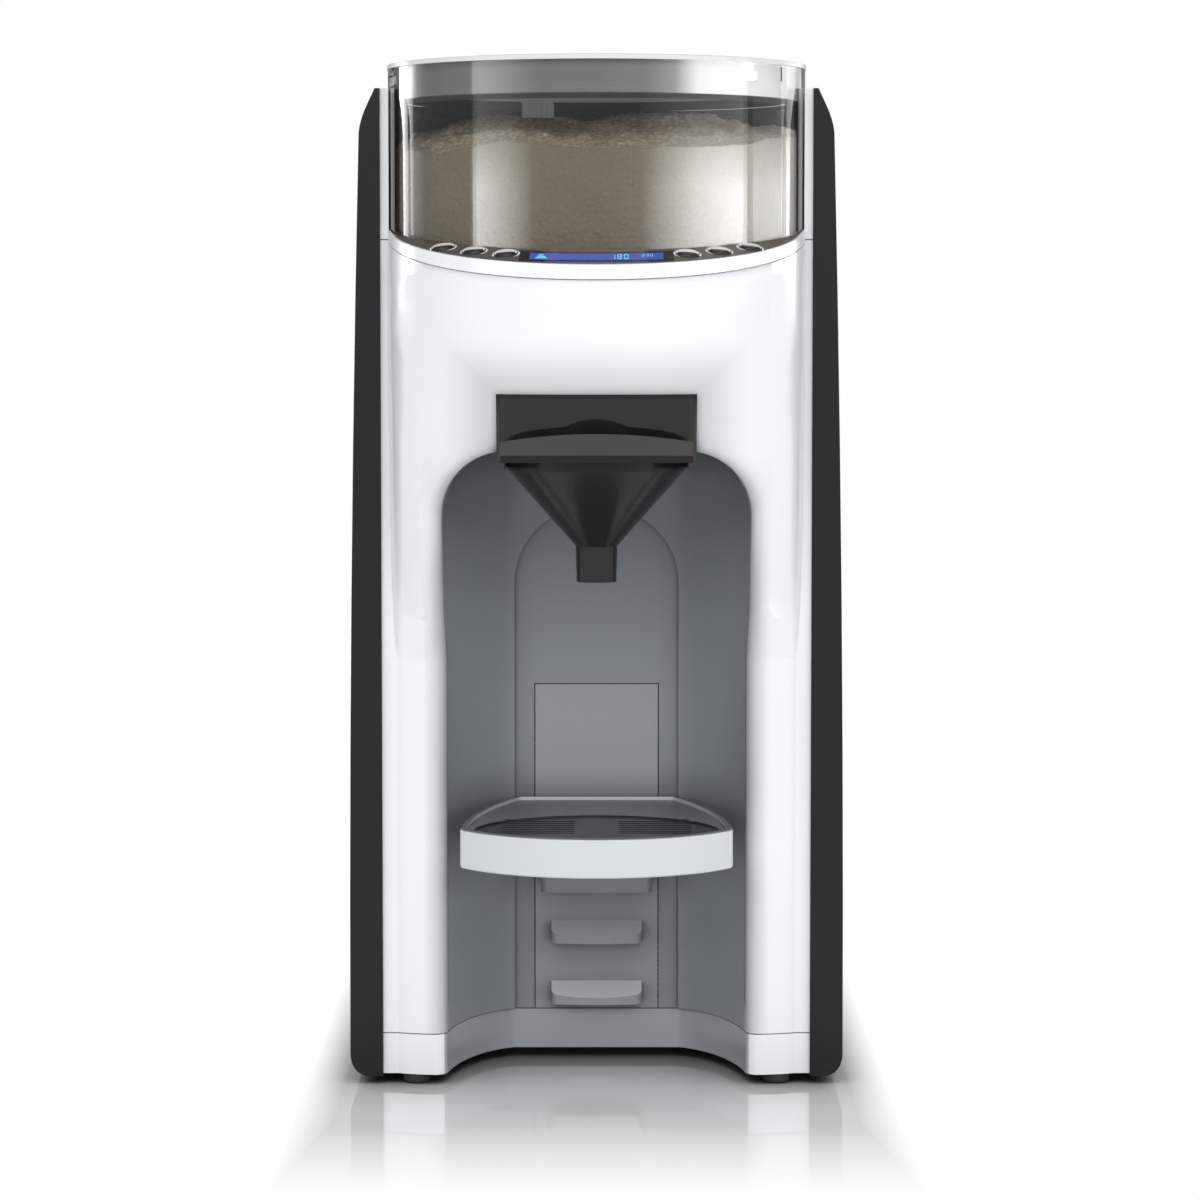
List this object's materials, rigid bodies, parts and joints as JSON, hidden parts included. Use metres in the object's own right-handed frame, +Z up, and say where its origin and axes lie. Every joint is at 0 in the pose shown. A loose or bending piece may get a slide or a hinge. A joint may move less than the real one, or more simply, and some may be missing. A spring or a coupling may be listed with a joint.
{
  "type": "baby formula maker",
  "caption": "Countertop baby formula maker with clear powder container, funnel over a bottle bay, height-set drip tray, buttons and a rear water tank.",
  "frame": {"origin": "on the floor below the middle of the machine's bounding box", "axes": "+Z up, -Y towards the user (the bottle bay), +X to the user's right"},
  "size_m": [0.1904, 0.29, 0.3932],
  "materials": {
    "white_plastic": "glossy white",
    "black_plastic": "satin black",
    "grey_plastic": "satin grey",
    "ledge_plastic": "satin grey",
    "grate_plastic": "satin dark grey",
    "skirt_plastic": "satin silver grey",
    "clear_plastic": "clear",
    "smoke_plastic": "clear smoky",
    "smoke_dark_plastic": "dark smoky",
    "bezel_paint": "taupe metallic",
    "window_plastic": "glossy black",
    "display_plastic": "lit blue",
    "board": "satin green",
    "dark_plastic": "matt dark grey",
    "button_chrome": "chromed",
    "steel": "brushed",
    "seal_rubber": "translucent grey",
    "foot_rubber": "pale grey",
    "hose_rubber": "pale silicone"
  },
  "bodies": {
    "machine": {"base": "white_plastic", "feet": "foot_rubber", "case_screws": "steel", "front_shell": "white_plastic", "top_rim": "white_plastic", "side_panel_left": "black_plastic", "side_panel_right": "black_plastic", "bay_liner": "grey_plastic", "ledge_panel": "ledge_plastic", "control_bezel": "bezel_paint", "display_window": "window_plastic", "display_module": "display_plastic", "control_board": "board", "container_seat": "dark_plastic", "gear_motor": "steel", "funnel_holder": "black_plastic", "water_nozzle": "steel", "rear_housing": "black_plastic", "cord_gland": "black_plastic", "tank_seat": "dark_plastic", "pump": "dark_plastic", "heater": "steel", "hose_tank_pump": "hose_rubber", "hose_pump_heater": "hose_rubber", "hose_heater_nozzle": "hose_rubber", "main_board": "board"},
    "drive": {"drive_coupler": "dark_plastic"},
    "container": {"powder_container": "clear_plastic", "scraper": "skirt_plastic"},
    "wheel": {"dosing_wheel": "dark_plastic"},
    "lid_seal_ring": {"lid_seal": "seal_rubber"},
    "lid_cover": {"lid": "white_plastic", "lid_skirt": "skirt_plastic"},
    "funnel_body": {"funnel": "smoke_dark_plastic"},
    "tray": {"drip_tray": "white_plastic", "tray_bracket": "grate_plastic"},
    "grate": {"tray_grate": "grate_plastic"},
    "tank": {"water_tank": "smoke_plastic", "tank_lid_pin": "steel", "tank_valve": "dark_plastic"},
    "tank_cover": {"tank_lid": "black_plastic"},
    "key_1": {"button_1": "button_chrome"},
    "key_2": {"button_2": "button_chrome"},
    "key_3": {"button_3": "button_chrome"},
    "key_4": {"button_4": "button_chrome"},
    "key_5": {"button_5": "button_chrome"},
    "key_6": {"button_6": "button_chrome"}
  },
  "joints": [
    {"name": "container_lift", "type": "slide", "parent": "machine", "child": "container", "axis": [0, 0, 1], "range_m": [0, 0.1]},
    {"name": "wheel_spin", "type": "hinge", "parent": "container", "child": "wheel", "pos_m": [0, -0.046, 0.3158], "axis": [0, 0, 1], "continuous": true},
    {"name": "drive_spin", "type": "hinge", "parent": "machine", "child": "drive", "pos_m": [0, -0.046, 0.306], "axis": [0, 0, 1], "continuous": true},
    {"name": "lid_lift", "type": "slide", "parent": "container", "child": "lid_seal_ring", "axis": [0, 0, 1], "range_m": [0, 0.06]},
    {"name": "lid_twist", "type": "hinge", "parent": "lid_seal_ring", "child": "lid_cover", "pos_m": [0, -0.046, 0.39], "axis": [0, 0, 1], "range_deg": [-9, 0]},
    {"name": "funnel_slide", "type": "slide", "parent": "machine", "child": "funnel_body", "axis": [0, -1, 0], "range_m": [0, 0.09]},
    {"name": "tray_slide", "type": "slide", "parent": "machine", "child": "tray", "axis": [0, -1, 0], "range_m": [0, 0.12]},
    {"name": "grate_lift", "type": "slide", "parent": "tray", "child": "grate", "axis": [0, 0, 1], "range_m": [0, 0.03]},
    {"name": "tank_lift", "type": "slide", "parent": "machine", "child": "tank", "axis": [0, 0, 1], "range_m": [0, 0.22]},
    {"name": "tank_lid_hinge", "type": "hinge", "parent": "tank", "child": "tank_cover", "pos_m": [0, 0.142, 0.3855], "axis": [-1, 0, 0], "range_deg": [0, 95]},
    {"name": "button_1_press", "type": "slide", "parent": "machine", "child": "key_1", "axis": [0.065, 0.2798, -0.9578], "range_m": [0, 0.0007], "stiffness_N_per_m": 400},
    {"name": "button_2_press", "type": "slide", "parent": "machine", "child": "key_2", "axis": [0.0894, 0.2678, -0.9593], "range_m": [0, 0.0007], "stiffness_N_per_m": 400},
    {"name": "button_3_press", "type": "slide", "parent": "machine", "child": "key_3", "axis": [0.1142, 0.2499, -0.9615], "range_m": [0, 0.0007], "stiffness_N_per_m": 400},
    {"name": "button_4_press", "type": "slide", "parent": "machine", "child": "key_4", "axis": [-0.065, 0.2798, -0.9578], "range_m": [0, 0.0007], "stiffness_N_per_m": 400},
    {"name": "button_5_press", "type": "slide", "parent": "machine", "child": "key_5", "axis": [-0.0894, 0.2678, -0.9593], "range_m": [0, 0.0007], "stiffness_N_per_m": 400},
    {"name": "button_6_press", "type": "slide", "parent": "machine", "child": "key_6", "axis": [-0.1142, 0.2499, -0.9615], "range_m": [0, 0.0007], "stiffness_N_per_m": 400}
  ],
  "couplings": [
    {"joint": "drive_spin", "follows": "wheel_spin", "ratio": 1}
  ]
}
